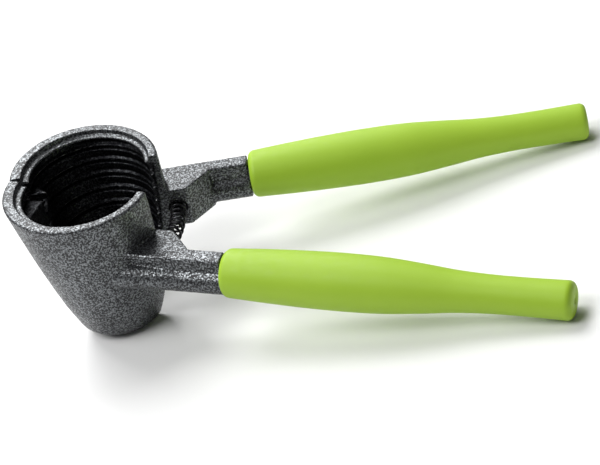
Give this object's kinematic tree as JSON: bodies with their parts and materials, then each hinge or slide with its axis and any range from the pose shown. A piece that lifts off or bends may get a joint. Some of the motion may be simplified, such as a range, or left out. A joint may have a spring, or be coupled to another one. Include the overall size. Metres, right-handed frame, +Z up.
{
  "type": "nutcracker",
  "caption": "Hand-held cone nutcracker: hinged split cup with ribbed inside, spring between the arms and long soft grips.",
  "frame": {"origin": "middle of the box around the open nutcracker, on the surface that it rests on", "axes": "+X along the middle between the two grips, from the cup to the grip ends; +Y towards the back jaw; +Z up, with the object resting open on the cup's base edge and both grip ends"},
  "size_m": [0.2064, 0.1206, 0.0661],
  "materials": {
    "casting": "hammertone silver and black enamel on the casting",
    "grip_rubber": "soft-touch satin, lime green",
    "spring_steel": "blackened, semi-gloss",
    "pin_steel": "plain bright steel"
  },
  "bodies": {
    "front_half": {"front_jaw": "casting", "front_grip": "grip_rubber", "hinge_pin": "pin_steel", "return_spring": "spring_steel"},
    "back_half": {"back_jaw": "casting", "back_grip": "grip_rubber"}
  },
  "joints": [
    {"name": "jaw_hinge", "type": "hinge", "parent": "front_half", "child": "back_half", "pos_m": [-0.09626, 0, 0.0478], "axis": [-0.1667, 0, -0.986], "range_deg": [0, 25.5], "stiffness_Nm_per_rad": 3, "springref_deg": -1.72, "deforming": ["return_spring"]}
  ]
}
